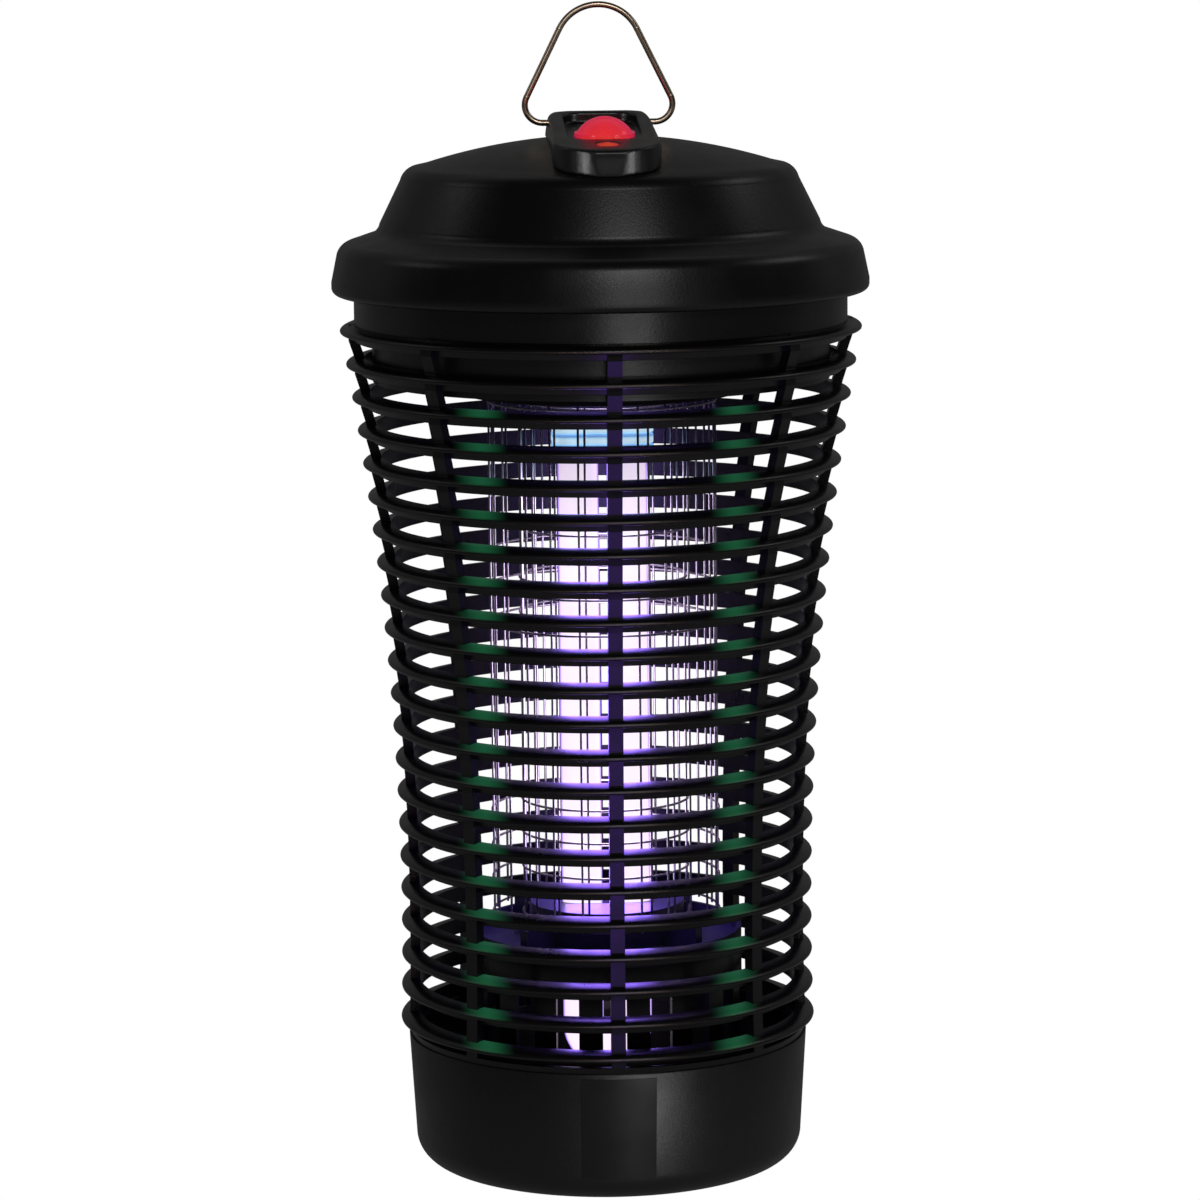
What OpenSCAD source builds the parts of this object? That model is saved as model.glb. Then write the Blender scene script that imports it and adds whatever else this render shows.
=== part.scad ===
// Electric bug zapper: a domed top with a hanging bail, a round finger guard of
// stacked louvre rings, two live wire grids round a twin-tube lamp, and a lift-off tray.
// Millimetres, +Z up, origin at the middle of the base. The front is -Y.

/* [Guard] */
// Number of louvre rings
ring_count = 22; // [19:1:22]
// Height from one ring to the next
ring_pitch = 14; // [13.6:0.1:14]
// Height of the highest ring's widest edge
top_ring_z = 356; // [356:1:360]
// Radius of the highest ring
top_ring_r = 109.4; // [108.5:0.1:110]
// Radius of the narrowest ring
waist_r = 87.5; // [86:0.1:90]
// How many pitches below the highest ring the waist is
waist_ring = 17.7; // [16:0.1:20]
// Depth of a ring from its outer edge to its inner edge
ring_depth = 7.8; // [7:0.1:8.5]
// Number of upright ribs
rib_count = 8; // [4:1:12]
// Width of a rib
rib_w = 6; // [4:0.5:8]
// How far a rib's face lies behind the rings' outer edge
rib_setback = 3.6; // [3:0.1:4.5]

/* [Top cap] */
// Radius of the brim
brim_r = 112.6; // [111:0.1:115]
// Radius of the dome's curve
dome_curve_r = 245; // [220:5:300]
// Height of the dome's highest point above the highest ring
dome_rise = 80.3; // [80:0.1:82]
// Thickness of the cap's wall
cap_wall = 2.6; // [2:0.1:3]

/* [Hanger] */
// Half the width of the hanger block at its foot
block_half_w = 22.3; // [22:0.1:22.8]
// Thickness of the bail's wire
bail_wire_d = 2.6; // [2:0.1:3]
// Height of the bail's pivot above the highest ring
pivot_rise = 85.6; // [85:0.1:87]
// Height of the bail from its pivot to the middle of its top
bail_height = 48.8; // [45:0.1:55]

/* [Grids] */
// Radius of the outer grid
outer_grid_r = 47.7; // [46:0.1:49]
// Number of upright wires in the outer grid
outer_wires = 24; // [16:2:30]
// Radius of the inner grid
inner_grid_r = 35; // [33:0.1:37]
// Number of upright wires in the inner grid
inner_wires = 16; // [12:2:20]
// Thickness of the grid wires
grid_wire_d = 1.4; // [1.2:0.1:1.8]

/* [Lamp] */
// Thickness of each leg of the lamp
tube_d = 17.2; // [16:0.1:18]
// Distance between the middles of the two legs
leg_pitch = 20.7; // [19.5:0.1:21]
// How far the lamp slides down as its pins leave the socket
pull_out = 9; // [8:0.5:10]

/* [Tray] */
// Radius of the tray's rim
tray_rim_r = 84.9; // [84.5:0.1:86]
// Radius of the tray near its foot
tray_foot_r = 82.4; // [81:0.1:83]
// Height of the tray's rim
tray_h = 55.4; // [54:0.1:55.6]
// Thickness of the tray's wall
tray_wall = 2.4; // [2:0.1:2.6]

/* [Hidden] */
$fn = 96;
eps = 0.01;

// Louvre ring section: rise of the inner top edge, drop of the lip and of the outer edge
ring_top = 2.9;
ring_lip = 4;
ring_edge = 0.8;
skin = 1.8;
rib_inner = ring_depth;

// Heights on the axis, from the top down
apex_z = top_ring_z + dome_rise;
pivot_z = top_ring_z + pivot_rise;
brim_z = top_ring_z + 15.7;
deck_z = top_ring_z + 19;
chassis_z = deck_z + 1.5;
drum_z = top_ring_z - 21;
upper_plate_z = top_ring_z - 27.2;
upper_plate_t = 3.6;
socket_z = top_ring_z - 35;
grid_foot_z = 106;
dish_floor_z = 96;
dish_rim_z = 100.5;
guard_foot_z = 50;
bend_z = 56.5;

collar_r = 103.4;
collar_wall = 2.6;
drum_r = 96;
plate_r = 57.5;
boss_r = 98.4;
boss_angles = [22.5, 112.5, 202.5, 292.5];
block_screw_places = [[9, 14, 5.5], [-9, 14, 5.5], [18.7, -14, 6.1], [-18.7, -14, 6.1]];
recess_w = 30.4;
recess_l = 59;
recess_back = 3;
recess_tilt = 4;
recess_mid = recess_back - recess_l / 2;
recess_z = pivot_z - 2.5;
lens_y = -43;
pilot_y = -66;
gland_z = top_ring_z + 53;
gland_y = 79;

function arc_points(cx, cy, r, from, to, steps) =
    [for (i = [0:steps]) let (a = from + (to - from) * i / steps) [cx + r * cos(a), cy + r * sin(a)]];

// Outer radius of the guard at each ring, counted from the top
function ring_r(i) =
    waist_r + (top_ring_r - waist_r) * pow((i - waist_ring) / waist_ring, 2);
function ring_z(i) = top_ring_z - ring_pitch * i;

// Height of the hanger block's sloping top
function block_top(y) = pivot_z + 3.8 + 0.1387 * y;

module spin_copies(angles) {
    for (a = angles) rotate([0, 0, a]) children();
}

module rounded_rect(w, l, r) {
    square([w - 2 * r, l], center = true);
    square([w, l - 2 * r], center = true);
    for (x = [-1, 1], y = [-1, 1]) translate([x * (w / 2 - r), y * (l / 2 - r)]) circle(r = r);
}

// A screw with its head down: head at z = 0, shank upwards
module screw(head_r, head_h, shank_r, length) {
    difference() {
        cylinder(r = head_r, h = head_h);
        translate([0, 0, -eps]) cylinder(r = head_r * 0.45, h = head_h * 0.6, $fn = 6);
    }
    cylinder(r = shank_r, h = head_h + length);
}

// A wire as straight runs with round joints
module wire(points, d) {
    for (i = [0:len(points) - 2]) {
        run = points[i + 1] - points[i];
        length = norm(run);
        translate(points[i]) rotate([0, acos(run[2] / length), atan2(run[1], run[0])])
            cylinder(d = d, h = length, $fn = 24);
    }
    for (i = [1:len(points) - 2]) translate(points[i]) sphere(d = 1.25 * d, $fn = 24);
}

// ---- Top cap ----

// Half section of the cap, inset from its outer face
function cap_outline(inset) = concat(
    [[0, brim_z], [0, apex_z - inset]],
    arc_points(0, apex_z - dome_curve_r, dome_curve_r - inset, 87, 72.5, 8),
    arc_points(75.5, top_ring_z + 60.5, 8 - inset, 68, 14, 5),
    arc_points(97.6, top_ring_z + 45.6, 5.6 + inset, 190, 247, 4),
    arc_points(103.2, top_ring_z + 30.2, 7.2 - inset, 68, 12, 4),
    [[brim_r - inset, top_ring_z + 20], [brim_r - inset, top_ring_z + 18.2]],
    arc_points(brim_r - 2.8, top_ring_z + 18.2, 2.8 - inset, -15, -90, 4)
);

module cap_body(inset) {
    rotate_extrude() polygon(cap_outline(inset));
}

module top_cap() color([0.07, 0.07, 0.07]) difference() {
    union() {
        difference() {
            cap_body(0);
            cap_body(cap_wall);
            translate([0, 0, brim_z - 1]) cylinder(r = brim_r - cap_wall - 1.4, h = 4);
        }
        spin_copies(boss_angles) translate([boss_r, 0, deck_z])
            cylinder(r = 3.6, h = 17.6);
        translate([0, gland_y, gland_z]) rotate([-90, 0, 0]) cylinder(r = 9, h = 12.4);
    }
    spin_copies(boss_angles) translate([boss_r, 0, deck_z - 1]) cylinder(r = 1.3, h = 15);
    translate([0, gland_y + 20, gland_z]) rotate([90, 0, 0]) cylinder(r = 6, h = 30);
    for (p = block_screw_places) translate([p[0], p[1], apex_z - 20]) cylinder(r = 1.8, h = 30);
    for (y = [lens_y, pilot_y]) translate([0, y, apex_z - 25]) cylinder(r = 4, h = 30);
}

// ---- Hanger block with its recess ----

// Outline from above: a nearly half-round nose, straight sides and round back corners
module block_plan() {
    nose_r = 24;
    nose_y = -56;
    side_r = 19;
    side_x = block_half_w - side_r;
    turn = asin(side_x / (nose_r - side_r));
    side_y = nose_y - (nose_r - side_r) * cos(turn);
    back_x = block_half_w - 15;
    polygon(concat(
        arc_points(0, nose_y, nose_r, -87 - turn, -93 + turn, 12),
        arc_points(side_x, side_y, side_r, -90 + turn, 0, 10),
        arc_points(back_x, 10, 15, 0, 90, 10),
        arc_points(-back_x, 10, 15, 90, 180, 10),
        arc_points(-side_x, side_y, side_r, 180, 270 - turn, 10)
    ));
}

module block_side() {
    polygon(concat(
        [[-82, apex_z - 22], [-80.4, apex_z - 22], [-79, block_top(-79) - 2.2]],
        arc_points(-77, block_top(-77) - 2.3, 2.3, 170, 98, 4),
        [[6, block_top(6)]],
        arc_points(6, block_top(6) - 12, 12, 80, 35, 4),
        [[28, apex_z - 22]]
    ));
}

module block_front() {
    polygon(concat(
        [[-block_half_w, apex_z - 22], [-block_half_w + 0.3, apex_z]],
        arc_points(-block_half_w + 5.1, block_top(0) - 3.4, 3.8, 165, 97, 4),
        [[0, block_top(8) + 0.6]],
        arc_points(block_half_w - 5.1, block_top(0) - 3.4, 3.8, 83, 15, 4),
        [[block_half_w - 0.3, apex_z], [block_half_w, apex_z - 22]]
    ));
}

module hanger_block() color([0.09, 0.09, 0.09]) difference() {
    intersection() {
        translate([0, 0, apex_z - 30]) linear_extrude(60) block_plan();
        rotate([90, 0, 90]) translate([0, 0, -40]) linear_extrude(80) block_side();
        translate([0, 40, 0]) rotate([90, 0, 0]) linear_extrude(140) block_front();
    }
    cap_body(0);
    translate([0, recess_mid, recess_z]) rotate([recess_tilt, 0, 0])
        linear_extrude(20) rounded_rect(recess_w, recess_l, 8);
    translate([0, pilot_y, block_top(pilot_y) - 1.2]) rotate([8, 0, 0]) cylinder(r = 4.6, h = 5);
    for (x = [-1, 1]) translate([x * 24, 0, pivot_z]) rotate([0, -90 * x, 0])
        cylinder(d = bail_wire_d + 0.12, h = 7.5);
    for (p = block_screw_places) translate([p[0], p[1], apex_z - 20]) cylinder(r = 1.3, h = 25);
    for (y = [lens_y, pilot_y]) translate([0, y, apex_z - 20]) cylinder(r = 2.7, h = 30);
}

module lens_place() {
    translate([0, lens_y, recess_z + (lens_y - recess_mid) * tan(recess_tilt)])
        rotate([recess_tilt, 0, 0]) children();
}

module signal_lens() color([0.85, 0.12, 0.2]) lens_place() {
    dome_r = 13.25;
    top = 8.3;
    difference() {
        union() {
            cylinder(r = 12.4, h = 1.8);
            intersection() {
                translate([0, 0, top - dome_r]) sphere(r = dome_r);
                cylinder(r = 13, h = 12);
            }
        }
        intersection() {
            translate([0, 0, top - dome_r]) sphere(r = dome_r - 1.6);
            translate([0, 0, -eps]) cylinder(r = 13, h = 12);
        }
    }
}

// A round-nosed lamp whose nose ends at z = 0, on two stiff legs
module small_led() {
    translate([0, 0, -9]) cylinder(r = 2.5, h = 6.5);
    translate([0, 0, -2.5]) sphere(r = 2.5);
    for (x = [-1.27, 1.27]) translate([x - 0.3, -0.3, -20]) cube([0.6, 0.6, 12]);
}

module signal_leds() color([0.9, 0.3, 0.2]) {
    lens_place() translate([0, 0, 6]) small_led();
    translate([0, pilot_y, block_top(pilot_y) - 1.4]) small_led();
}

module pilot_lens() color([0.9, 0.25, 0.15])
    translate([0, pilot_y, block_top(pilot_y) - 1.2]) rotate([8, 0, 0]) {
        cylinder(r = 4.4, h = 0.9);
        intersection() {
            translate([0, 0, -4.6]) sphere(r = 6.4);
            cylinder(r = 4, h = 3);
        }
    }

// ---- Bail ----

module arc_wire(radius, angle) {
    rotate_extrude(angle = angle) translate([radius, 0]) circle(d = bail_wire_d, $fn = 32);
}

module hanging_bail() color([0.55, 0.45, 0.36]) {
    top_r = 18;
    corner_r = 7.4;
    half_w = 30.8;
    centres = [half_w - corner_r, corner_r - bail_height + top_r];
    lean = acos((top_r - corner_r) / norm(centres)) + atan2(centres[1], centres[0]);
    leg_top = [top_r * cos(lean), bail_height - top_r + top_r * sin(lean)];
    corner = [half_w - corner_r, corner_r];
    leg_foot = corner + corner_r * [cos(lean), sin(lean)];
    run = leg_top - leg_foot;
    translate([0, 0, pivot_z]) {
        translate([0, 0, bail_height - top_r]) rotate([90, 0, 0])
            rotate([0, 0, lean]) arc_wire(top_r, 180 - 2 * lean);
        for (x = [0, 1]) mirror([x, 0, 0]) {
            translate([leg_foot[0], 0, leg_foot[1]]) rotate([0, atan2(run[0], run[1]), 0])
                cylinder(d = bail_wire_d, h = norm(run), $fn = 32);
            translate([corner[0], 0, corner[1]]) rotate([90, 0, 0])
                rotate([0, 0, -90]) arc_wire(corner_r, 90 + lean);
            translate([17.2, 0, 0]) rotate([0, 90, 0])
                cylinder(d = bail_wire_d, h = corner[0] - 17.2, $fn = 32);
            for (joint = [leg_top, leg_foot, [corner[0], 0]])
                translate([joint[0], 0, joint[1]]) sphere(d = bail_wire_d + 0.1, $fn = 48);
        }
    }
}

// ---- Cord entry ----

module cord_gland() color([0.05, 0.05, 0.05])
    translate([0, gland_y, gland_z]) rotate([-90, 0, 0]) difference() {
        union() {
            translate([0, 0, -3]) cylinder(r = 5.9, h = 18.6);
            translate([0, 0, -3]) cylinder(r = 8, h = 3);
            translate([0, 0, 12.4]) cylinder(r = 8, h = 2.2);
        }
        translate([0, 0, -4]) cylinder(r = 3.9, h = 24);
    }

module cord_clamp() color([0.08, 0.08, 0.08]) difference() {
    translate([-11, 66, chassis_z]) cube([22, 9, 10]);
    translate([0, 80, chassis_z + 6]) rotate([90, 0, 0]) cylinder(r = 3.4, h = 20);
    for (x = [-7.5, 7.5]) translate([x, 70.5, chassis_z - 1]) cylinder(r = 1.5, h = 14);
}

// ---- Guard ----

// Half section of one louvre ring whose outer radius is r
function ring_outline(r) = concat(
    [[r - 0.9, -ring_edge - 0.1], [r - 0.35, -ring_edge]],
    [for (i = [0:8]) let (a = 90 * i / 8) [r - ring_depth + ring_depth * cos(a), ring_top * sin(a)]],
    [[r - ring_depth, -ring_lip + 0.4], [r - ring_depth + 0.4, -ring_lip]],
    [[r - ring_depth + skin - 0.3, -ring_lip], [r - ring_depth + skin, ring_top - skin]]
);

module guard_rings() color([0.06, 0.06, 0.06])
    for (i = [0:ring_count - 1]) translate([0, 0, ring_z(i)]) difference() {
        rotate_extrude() polygon(ring_outline(ring_r(i)));
        for (a = [0:360 / rib_count:359]) rotate([0, 0, a - 90])
            translate([ring_r(i) - ring_depth - 1, -rib_w / 2, -ring_lip - 1])
                cube([ring_depth + 1 - rib_setback, rib_w, ring_top + ring_lip + 2]);
    }

// Edge of a rib beside the rings: upright at each ring and sloping between them
function rib_edge(back) = [
    for (i = [0:ring_count - 1], side = [ring_top, -ring_lip])
        [ring_r(i) - back, ring_z(i) + side]
];
function reversed(list) = [for (i = [len(list) - 1:-1:0]) list[i]];

module guard_rib() {
    low = tray_h + 2.4;
    last = ring_r(ring_count - 1);
    rotate([90, 0, 0]) translate([0, 0, -rib_w / 2]) linear_extrude(rib_w) polygon(concat(
        rib_edge(rib_setback),
        [[last - rib_setback, low], [last - rib_inner, low]],
        reversed(rib_edge(rib_inner))
    ));
}

module guard_ribs() color([0.06, 0.06, 0.06])
    for (a = [0:360 / rib_count:359]) rotate([0, 0, a - 90]) guard_rib();

// Flat ring with square edges
module hoop(inner_r, outer_r, z, h) {
    translate([0, 0, z]) rotate_extrude() translate([inner_r, 0]) square([outer_r - inner_r, h]);
}

module guard_collar() color([0.06, 0.06, 0.06]) {
    low = top_ring_z + ring_top;
    difference() {
        union() {
            hoop(collar_r - collar_wall, collar_r, low, deck_z - 2 - low);
            hoop(drum_r + 0.2, collar_r, deck_z - 5, 3);
        }
        spin_copies(boss_angles) translate([boss_r, 0, deck_z - 8]) cylinder(r = 1.5, h = 10);
    }
}

// Lower ring that the tray stops against, with the seat of the lamp guard on four spokes
module guard_foot() color([0.06, 0.06, 0.06]) {
    hoop(79, 81.6, tray_h - 8.4, 8.4);
    hoop(79, 84, tray_h, 2.4);
    hoop(53.4, 55.2, guard_foot_z, 3.6);
    for (a = [45:90:359]) rotate([0, 0, a]) translate([54.6, -2.5, guard_foot_z])
        cube([25.2, 5, 3.6]);
}

// ---- Drum that carries the lamp socket ----

module socket_drum() color([0.1, 0.1, 0.1]) difference() {
    union() {
        difference() {
            translate([0, 0, drum_z]) cylinder(r = drum_r, h = deck_z - drum_z);
            translate([0, 0, drum_z + 2.4]) cylinder(r = drum_r - 2.2, h = 80);
        }
        hoop(80, 103, deck_z - 2, 2);
    }
    translate([0, 0, drum_z - 1]) linear_extrude(5) rounded_rect(44.6, 30.6, 4);
    for (r = [inner_grid_r, outer_grid_r]) translate([-2.1, -r - 0.6, drum_z - 1])
        cube([4.2, 1.2, 5]);
    spin_copies(boss_angles) translate([boss_r, 0, deck_z - 8]) cylinder(r = 1.5, h = 10);
    for (a = [30, 150, 270]) rotate([0, 0, a]) translate([84, 0, deck_z - 8]) cylinder(r = 1.3, h = 10);
}

module chassis_plate() color([0.7, 0.7, 0.72]) difference() {
    translate([0, 0, deck_z]) cylinder(r = 90, h = 1.5);
    translate([0, 0, deck_z - 1]) linear_extrude(4) translate([-40, 0]) rounded_rect(12, 24, 4);
    for (a = [30, 150, 270]) rotate([0, 0, a]) translate([84, 0, deck_z - 1]) cylinder(r = 2, h = 4);
    for (x = [-7.5, 7.5]) translate([x, 70.5, deck_z - 1]) cylinder(r = 1.3, h = 4);
}

// ---- Transformer ----

core_w = 57;
core_h = 44;
core_t = 26;
core_limb = 9.5;
core_y = -22;

module core_window(x) {
    translate([x, -30, core_limb]) cube([core_limb, 60, core_h - 2 * core_limb]);
}

module transformer_core() color([0.35, 0.35, 0.37])
    translate([0, core_y, chassis_z + 1]) difference() {
        translate([-core_w / 2, -core_t / 2, 0]) cube([core_w, core_t, core_h]);
        core_window(core_limb);
        core_window(-2 * core_limb);
    }

module transformer_coil() color([0.72, 0.38, 0.16])
    translate([0, core_y, chassis_z + 1 + core_limb + 0.4]) difference() {
        translate([0, 0, 0]) linear_extrude(core_h - 2 * core_limb - 0.8)
            rounded_rect(4 * core_limb - 1, core_t + 17, 4);
        translate([-core_limb, -core_t / 2, -1]) cube([2 * core_limb, core_t, core_h]);
    }

module transformer_bracket() color([0.75, 0.75, 0.76])
    translate([0, core_y, chassis_z]) difference() {
        union() {
            translate([-core_w / 2 - 1, -8, 0]) cube([core_w + 2, 16, core_h + 2]);
            translate([-core_w / 2 - 12, -8, 0]) cube([core_w + 24, 16, 1]);
        }
        translate([-core_w / 2, -9, -1]) cube([core_w, 18, core_h + 2]);
        for (x = [-1, 1]) translate([x * (core_w / 2 + 6.5), 0, -1]) cylinder(r = 1.9, h = 4);
    }

// ---- Voltage-multiplier and driver board ----

board_z = chassis_z + 6;
board_y = 36;
board_w = 84;
board_l = 44;

module circuit_board() color([0.1, 0.32, 0.2]) difference() {
    translate([-board_w / 2, board_y - board_l / 2, board_z]) cube([board_w, board_l, 1.6]);
    for (x = [-1, 1], y = [-1, 1])
        translate([x * (board_w / 2 - 4), board_y + y * (board_l / 2 - 4), board_z - 1])
            cylinder(r = 1.7, h = 4);
}

module board_pillars() color([0.8, 0.78, 0.7])
    for (x = [-1, 1], y = [-1, 1])
        translate([x * (board_w / 2 - 4), board_y + y * (board_l / 2 - 4), chassis_z]) {
            cylinder(r = 3, h = 6);
            cylinder(r = 1.6, h = 7.6);
            translate([0, 0, 7.6]) cylinder(r = 2.4, h = 1.4);
        }

module capacitors() color([0.12, 0.16, 0.4]) {
    for (x = [-22, -2]) translate([x, board_y + 6, board_z + 1.6]) {
        cylinder(r = 8, h = 19);
        cylinder(r = 7.4, h = 20);
    }
    for (x = [-30, -20, -10]) translate([x - 4, board_y - 15, board_z + 1.6]) cube([8, 4.4, 9]);
}

module resistors() color([0.8, 0.72, 0.55])
    for (y = [-16, -10, -4]) translate([8, board_y + y, board_z + 4.4]) {
        rotate([0, 90, 0]) cylinder(r = 2.2, h = 12);
        for (x = [-1.5, 13]) translate([x, 0, -2.8]) cylinder(r = 0.4, h = 3.2, $fn = 24);
        translate([-1.5, 0, 0]) rotate([0, 90, 0]) cylinder(r = 0.4, h = 15, $fn = 24);
    }

module terminal_block() color([0.2, 0.45, 0.3]) difference() {
    translate([26, board_y - 15, board_z + 1.6]) cube([11, 30, 11]);
    for (y = [-10, 0, 10]) {
        translate([31.5, board_y + y, board_z + 8]) cylinder(r = 2.4, h = 8);
        translate([20, board_y + y, board_z + 5.5]) rotate([0, 90, 0]) cylinder(r = 1.5, h = 12);
    }
}

// ---- Lamp socket and lamp ----

pin_places = [-13.5, -4.5, 4.5, 13.5];

module lamp_socket() color([0.86, 0.86, 0.84]) difference() {
    union() {
        translate([0, 0, socket_z]) linear_extrude(drum_z + 8 - socket_z) rounded_rect(44, 30, 4);
        translate([0, 0, drum_z + 2.4]) linear_extrude(3) rounded_rect(54, 36, 5);
    }
    for (x = pin_places) translate([x, 0, socket_z - 1]) cylinder(r = 1.22, h = 13);
}

module socket_contacts() color([0.8, 0.65, 0.3])
    for (x = pin_places) translate([x - 1.5, -0.4, drum_z + 8]) cube([3, 0.8, 6]);

module lamp_base() color([0.92, 0.92, 0.9]) difference() {
    union() {
        for (i = [0:3]) translate([0, 0, socket_z - 17.5 + 4.6 * i])
            linear_extrude(3.4) rounded_rect(42.4, 26, 6);
        translate([0, 0, socket_z - 17.5]) linear_extrude(17.5) rounded_rect(41, 24.6, 5.4);
    }
    for (x = [-1, 1]) translate([x * leg_pitch / 2, 0, socket_z - 18]) cylinder(d = tube_d, h = 11.5);
}

module lamp_pins() color([0.8, 0.78, 0.7])
    for (x = pin_places) translate([x, 0, socket_z]) {
        cylinder(r = 1.15, h = pull_out - 1.2);
        translate([0, 0, pull_out - 1.2]) cylinder(r1 = 1.15, r2 = 0.6, h = 0.8);
    }

module lamp_tube(d) {
    for (x = [-1, 1]) translate([x * leg_pitch / 2, 0, bend_z])
        cylinder(d = d, h = socket_z - 7 - bend_z);
    translate([0, 0, bend_z]) rotate([90, 0, 0]) rotate([0, 0, 180]) rotate_extrude(angle = 180)
        translate([leg_pitch / 2, 0]) circle(d = d);
}

module lamp_glass() color([0.85, 0.8, 0.98]) difference() {
    lamp_tube(tube_d);
    for (x = [-1, 1]) translate([x * leg_pitch / 2, 0, bend_z])
        cylinder(d = tube_d - 2, h = 300);
}

// ---- Grids ----

module wire_cage(r, count, turn, hoops) {
    for (i = [0:count - 1]) rotate([0, 0, turn + 360 * i / count]) translate([r, 0, grid_foot_z])
        cylinder(d = grid_wire_d, h = upper_plate_z - grid_foot_z, $fn = 24);
    for (z = hoops) hoop(r, r + grid_wire_d, z - grid_wire_d / 2, grid_wire_d);
}

grid_top_z = upper_plate_z - 3;
grid_low_z = grid_foot_z + 1;

module outer_grid() color([0.75, 0.74, 0.76])
    wire_cage(outer_grid_r, outer_wires, 0, [grid_low_z, 122, 136, 151, 232, 247, 262, grid_top_z]);

module inner_grid() color([0.75, 0.74, 0.76])
    wire_cage(inner_grid_r, inner_wires, 7.5, [grid_low_z, 127, 142, 156, 236, 251, 272, grid_top_z]);

module upper_grid_plate() color([0.08, 0.08, 0.08]) difference() {
    union() {
        translate([0, 0, upper_plate_z]) cylinder(r = plate_r, h = upper_plate_t);
        translate([0, 0, upper_plate_z]) cylinder(r = 42, h = drum_z - upper_plate_z);
    }
    translate([0, 0, upper_plate_z - 1]) linear_extrude(20) rounded_rect(44.6, 30.6, 4);
    for (r = [inner_grid_r, outer_grid_r]) translate([0, -r, upper_plate_z - 1])
        translate([-2.1, -0.6, 0]) cube([4.2, 1.2, 20]);
}

module grid_terminals() color([0.8, 0.65, 0.3])
    for (r = [inner_grid_r, outer_grid_r])
        translate([-2, -r - 0.5, upper_plate_z]) cube([4, 1, drum_z - upper_plate_z + 8]);

module lower_grid_holder() color([0.08, 0.08, 0.08]) {
    boss = 33;
    difference() {
        union() {
            translate([0, 0, dish_floor_z - 2]) cylinder(r = plate_r, h = 2);
            hoop(plate_r - 2, plate_r, dish_floor_z - 2, dish_rim_z - dish_floor_z + 2);
            translate([0, 0, dish_floor_z - 2]) cylinder(r = boss, h = 17.5);
        }
        translate([0, 0, dish_floor_z - 3]) cylinder(r = boss - 2.4, h = 16.5);
        translate([0, 0, dish_floor_z - 3]) linear_extrude(30) rounded_rect(41, 20.4, 10);
    }
    for (a = [45:90:359]) rotate([0, 0, a]) translate([boss - 1, -2, dish_floor_z - 1])
        cube([20, 4, grid_foot_z - dish_floor_z + 1]);
}

slot_count = 18;

module lamp_guard() color([0.07, 0.07, 0.07]) difference() {
    hoop(55.3, plate_r, guard_foot_z, dish_floor_z - 2 - guard_foot_z);
    for (i = [0:slot_count - 1]) rotate([0, 0, 360 * i / slot_count - 90])
        translate([50, -5, guard_foot_z + 4.3]) cube([20, 10, 29]);
    for (a = [45:90:359]) rotate([0, 0, a]) translate([50, -2.6, guard_foot_z - 1])
        cube([20, 5.2, 4.7]);
}

// ---- Tray ----

tray_round = 12;

function tray_outline(inset) = concat(
    [[0, inset]],
    arc_points(tray_foot_r - tray_round, tray_round, tray_round - inset, -90, 0, 8),
    [[tray_rim_r - inset, tray_h + (inset > 0 ? 1 : 0)], [0, tray_h + (inset > 0 ? 1 : 0)]]
);

module collection_tray() color([0.07, 0.07, 0.07]) difference() {
    rotate_extrude() polygon(tray_outline(0));
    rotate_extrude() polygon(tray_outline(tray_wall));
}

label_half_angle = 10.6;

module label_plate() color([0.03, 0.03, 0.035]) {
    lean = (tray_rim_r - tray_foot_r) / (tray_h - tray_round);
    low = 10.5;
    high = 53.4;
    low_r = tray_foot_r + lean * (low - tray_round);
    high_r = tray_foot_r + lean * (high - tray_round);
    rotate([0, 0, -90 - label_half_angle]) rotate_extrude(angle = 2 * label_half_angle, $fn = 240)
        polygon([[low_r, low], [low_r + 0.6, low], [high_r + 0.6, high], [high_r, high]]);
}

// ---- Fasteners ----

module cap_screws() color([0.7, 0.7, 0.7])
    spin_copies(boss_angles) translate([boss_r, 0, deck_z - 7]) screw(2.2, 2, 1.25, 16);

module block_screws() color([0.7, 0.7, 0.7])
    for (p = block_screw_places) translate([p[0], p[1], apex_z - p[2]]) screw(3, 2, 1.25, 8);

module chassis_screws() color([0.7, 0.7, 0.7]) {
    for (a = [30, 150, 270]) rotate([0, 0, a]) translate([84, 0, chassis_z + 1.8]) mirror([0, 0, 1])
        screw(3, 1.8, 1.25, 4.5);
    for (x = [-7.5, 7.5]) translate([x, 70.5, chassis_z + 11.8]) mirror([0, 0, 1])
        screw(2.8, 1.8, 1.25, 11.5);
}

// ---- Wiring ----

module supply_leads() color([0.15, 0.1, 0.1]) {
    wire([[1.7, 65, chassis_z + 6], [1.7, 61.5, chassis_z + 11], [18, 57, chassis_z + 18],
          [22, board_y + 10, board_z + 5.5], [27, board_y + 10, board_z + 5.5]], 1.8);
    wire([[-1.7, 65, chassis_z + 6], [-1.7, 61, chassis_z + 14], [16, 55, chassis_z + 26],
          [23.5, board_y - 10, chassis_z + 20], [23.5, board_y - 10, board_z + 5.5],
          [27, board_y - 10, board_z + 5.5]], 1.8);
}

module lamp_leads() color([0.85, 0.85, 0.85])
    for (i = [0:3]) {
        low = drum_z + 17 + 2.6 * i;
        high = chassis_z + 12 + 2.6 * (3 - i);
        hole_y = 4 * i - 6;
        end_y = board_y - 1 - 3 * i;
        wire([[pin_places[i], 0, drum_z + 14], [pin_places[i], 0, low], [-40, hole_y, low],
              [-40, hole_y, high], [-38, end_y, high], [-38, end_y, board_z + 1.6]], 1.3);
    }

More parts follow.
